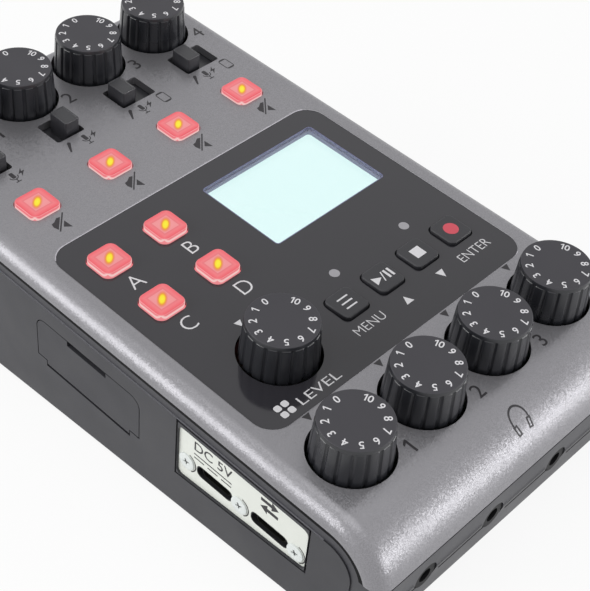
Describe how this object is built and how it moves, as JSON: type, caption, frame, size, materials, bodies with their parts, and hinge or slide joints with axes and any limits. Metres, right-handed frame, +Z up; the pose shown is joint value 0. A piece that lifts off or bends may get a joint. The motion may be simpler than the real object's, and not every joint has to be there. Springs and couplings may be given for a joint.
{
  "type": "podcast recorder",
  "caption": "Tilted desktop audio recorder: silver wedge housing with gain and headphone knobs, mute buttons, sound pads, screen, transport keys, card door and ports.",
  "frame": {"origin": "on the table, under the middle of the housing's outline", "axes": "+X to the user's right, +Y to the rear along the table, +Z up; the deck rises towards the rear by 4.6 degrees"},
  "size_m": [0.1012, 0.1749, 0.0579],
  "materials": {
    "silver_plastic": "silver paint, fine satin grain",
    "charcoal_plastic": "moulded, fine matt grain",
    "panel_gloss": "polished dark grey",
    "window": "clear",
    "display": "lit white, unlit frame",
    "white_plastic": "smooth white",
    "circuit_board": "green solder mask",
    "black_plastic": "moulded black",
    "nickel": "nickel plate",
    "steel": "plain sheet",
    "knob_plastic": "moulded dark grey, satin top",
    "red_rubber": "translucent silicone",
    "key_plastic": "satin dark grey",
    "foot_rubber": "matt"
  },
  "bodies": {
    "housing": {"top_cover": "silver_plastic", "mid_frame": "charcoal_plastic", "lower_case": "charcoal_plastic", "control_panel": "panel_gloss", "screen_window": "window", "display_module": "display", "port_plate": "white_plastic", "main_board": "circuit_board", "io_board": "circuit_board", "xlr_1": "black_plastic", "xlr_2": "black_plastic", "xlr_3": "black_plastic", "xlr_4": "black_plastic", "phones_jack_1": "black_plastic", "phones_jack_2": "black_plastic", "phones_jack_3": "black_plastic", "phones_jack_4": "black_plastic", "phone_jack": "black_plastic", "usb_power": "nickel", "usb_data": "nickel", "pot_gain_1": "steel", "pot_gain_2": "steel", "pot_gain_3": "steel", "pot_gain_4": "steel", "pot_phones_1": "steel", "pot_phones_2": "steel", "pot_phones_3": "steel", "pot_phones_4": "steel", "pot_pads": "steel", "battery_contacts": "nickel", "feet": "foot_rubber"},
    "knob_gain_1": {"knob_gain_1": "knob_plastic"},
    "knob_phones_1": {"knob_phones_1": "knob_plastic"},
    "knob_gain_2": {"knob_gain_2": "knob_plastic"},
    "knob_phones_2": {"knob_phones_2": "knob_plastic"},
    "knob_gain_3": {"knob_gain_3": "knob_plastic"},
    "knob_phones_3": {"knob_phones_3": "knob_plastic"},
    "knob_gain_4": {"knob_gain_4": "knob_plastic"},
    "knob_phones_4": {"knob_phones_4": "knob_plastic"},
    "knob_pads": {"knob_pads": "knob_plastic"},
    "mute_1": {"mute_1": "red_rubber"},
    "mute_2": {"mute_2": "red_rubber"},
    "mute_3": {"mute_3": "red_rubber"},
    "mute_4": {"mute_4": "red_rubber"},
    "pad_a": {"pad_a": "red_rubber"},
    "pad_b": {"pad_b": "red_rubber"},
    "pad_c": {"pad_c": "red_rubber"},
    "pad_d": {"pad_d": "red_rubber"},
    "button_menu": {"button_menu": "key_plastic"},
    "button_play": {"button_play": "key_plastic"},
    "button_stop": {"button_stop": "key_plastic"},
    "button_record": {"button_record": "key_plastic"},
    "switch_1": {"switch_1": "black_plastic"},
    "switch_2": {"switch_2": "black_plastic"},
    "switch_3": {"switch_3": "black_plastic"},
    "switch_4": {"switch_4": "black_plastic"},
    "card_door": {"card_door": "charcoal_plastic"},
    "battery_cover": {"battery_cover": "charcoal_plastic"},
    "power_switch": {"power_switch": "black_plastic"}
  },
  "joints": [
    {"name": "knob_gain_1_turn", "type": "hinge", "parent": "housing", "child": "knob_gain_1", "pos_m": [-0.0342, 0.0704, 0.05723], "axis": [0, -0.0802, 0.9968], "range_deg": [-291, 9]},
    {"name": "knob_phones_1_turn", "type": "hinge", "parent": "housing", "child": "knob_phones_1", "pos_m": [-0.0342, -0.06536, 0.04631], "axis": [0, -0.0802, 0.9968], "range_deg": [-291, 9]},
    {"name": "knob_gain_2_turn", "type": "hinge", "parent": "housing", "child": "knob_gain_2", "pos_m": [-0.0114, 0.0704, 0.05723], "axis": [0, -0.0802, 0.9968], "range_deg": [-291, 9]},
    {"name": "knob_phones_2_turn", "type": "hinge", "parent": "housing", "child": "knob_phones_2", "pos_m": [-0.0114, -0.06536, 0.04631], "axis": [0, -0.0802, 0.9968], "range_deg": [-291, 9]},
    {"name": "knob_gain_3_turn", "type": "hinge", "parent": "housing", "child": "knob_gain_3", "pos_m": [0.0114, 0.0704, 0.05723], "axis": [0, -0.0802, 0.9968], "range_deg": [-291, 9]},
    {"name": "knob_phones_3_turn", "type": "hinge", "parent": "housing", "child": "knob_phones_3", "pos_m": [0.0114, -0.06536, 0.04631], "axis": [0, -0.0802, 0.9968], "range_deg": [-291, 9]},
    {"name": "knob_gain_4_turn", "type": "hinge", "parent": "housing", "child": "knob_gain_4", "pos_m": [0.0342, 0.0704, 0.05723], "axis": [0, -0.0802, 0.9968], "range_deg": [-291, 9]},
    {"name": "knob_phones_4_turn", "type": "hinge", "parent": "housing", "child": "knob_phones_4", "pos_m": [0.0342, -0.06536, 0.04631], "axis": [0, -0.0802, 0.9968], "range_deg": [-291, 9]},
    {"name": "knob_pads_turn", "type": "hinge", "parent": "housing", "child": "knob_pads", "pos_m": [-0.0252, -0.03596, 0.04867], "axis": [0, -0.0802, 0.9968], "range_deg": [-291, 9]},
    {"name": "mute_1_press", "type": "slide", "parent": "housing", "child": "mute_1", "axis": [0, 0.0802, -0.9968], "range_m": [0, 0.0008], "stiffness_N_per_m": 400, "springref_m": -0.0005},
    {"name": "mute_2_press", "type": "slide", "parent": "housing", "child": "mute_2", "axis": [0, 0.0802, -0.9968], "range_m": [0, 0.0008], "stiffness_N_per_m": 400, "springref_m": -0.0005},
    {"name": "mute_3_press", "type": "slide", "parent": "housing", "child": "mute_3", "axis": [0, 0.0802, -0.9968], "range_m": [0, 0.0008], "stiffness_N_per_m": 400, "springref_m": -0.0005},
    {"name": "mute_4_press", "type": "slide", "parent": "housing", "child": "mute_4", "axis": [0, 0.0802, -0.9968], "range_m": [0, 0.0008], "stiffness_N_per_m": 400, "springref_m": -0.0005},
    {"name": "pad_a_press", "type": "slide", "parent": "housing", "child": "pad_a", "axis": [0, 0.0802, -0.9968], "range_m": [0, 0.0008], "stiffness_N_per_m": 400, "springref_m": -0.0005},
    {"name": "pad_b_press", "type": "slide", "parent": "housing", "child": "pad_b", "axis": [0, 0.0802, -0.9968], "range_m": [0, 0.0008], "stiffness_N_per_m": 400, "springref_m": -0.0005},
    {"name": "pad_c_press", "type": "slide", "parent": "housing", "child": "pad_c", "axis": [0, 0.0802, -0.9968], "range_m": [0, 0.0008], "stiffness_N_per_m": 400, "springref_m": -0.0005},
    {"name": "pad_d_press", "type": "slide", "parent": "housing", "child": "pad_d", "axis": [0, 0.0802, -0.9968], "range_m": [0, 0.0008], "stiffness_N_per_m": 400, "springref_m": -0.0005},
    {"name": "button_menu_press", "type": "slide", "parent": "housing", "child": "button_menu", "axis": [0, 0.0802, -0.9968], "range_m": [0, 0.0008], "stiffness_N_per_m": 400, "springref_m": -0.0005},
    {"name": "button_play_press", "type": "slide", "parent": "housing", "child": "button_play", "axis": [0, 0.0802, -0.9968], "range_m": [0, 0.0008], "stiffness_N_per_m": 400, "springref_m": -0.0005},
    {"name": "button_stop_press", "type": "slide", "parent": "housing", "child": "button_stop", "axis": [0, 0.0802, -0.9968], "range_m": [0, 0.0008], "stiffness_N_per_m": 400, "springref_m": -0.0005},
    {"name": "button_record_press", "type": "slide", "parent": "housing", "child": "button_record", "axis": [0, 0.0802, -0.9968], "range_m": [0, 0.0008], "stiffness_N_per_m": 400, "springref_m": -0.0005},
    {"name": "switch_1_slide", "type": "slide", "parent": "housing", "child": "switch_1", "axis": [1, 0, 0], "range_m": [-0.0025, 0]},
    {"name": "switch_2_slide", "type": "slide", "parent": "housing", "child": "switch_2", "axis": [1, 0, 0], "range_m": [-0.0025, 0]},
    {"name": "switch_3_slide", "type": "slide", "parent": "housing", "child": "switch_3", "axis": [1, 0, 0], "range_m": [0, 0.005]},
    {"name": "switch_4_slide", "type": "slide", "parent": "housing", "child": "switch_4", "axis": [1, 0, 0], "range_m": [0, 0.005]},
    {"name": "card_door_hinge", "type": "hinge", "parent": "housing", "child": "card_door", "pos_m": [-0.0492, 0.00265, 0.01526], "axis": [0, -0.9968, -0.0802], "range_deg": [0, 95]},
    {"name": "battery_cover_slide", "type": "slide", "parent": "housing", "child": "battery_cover", "axis": [0, 1, 0], "range_m": [0, 0.004]},
    {"name": "power_switch_slide", "type": "slide", "parent": "housing", "child": "power_switch", "axis": [0, 0.9968, 0.0802], "range_m": [0, 0.003]}
  ]
}
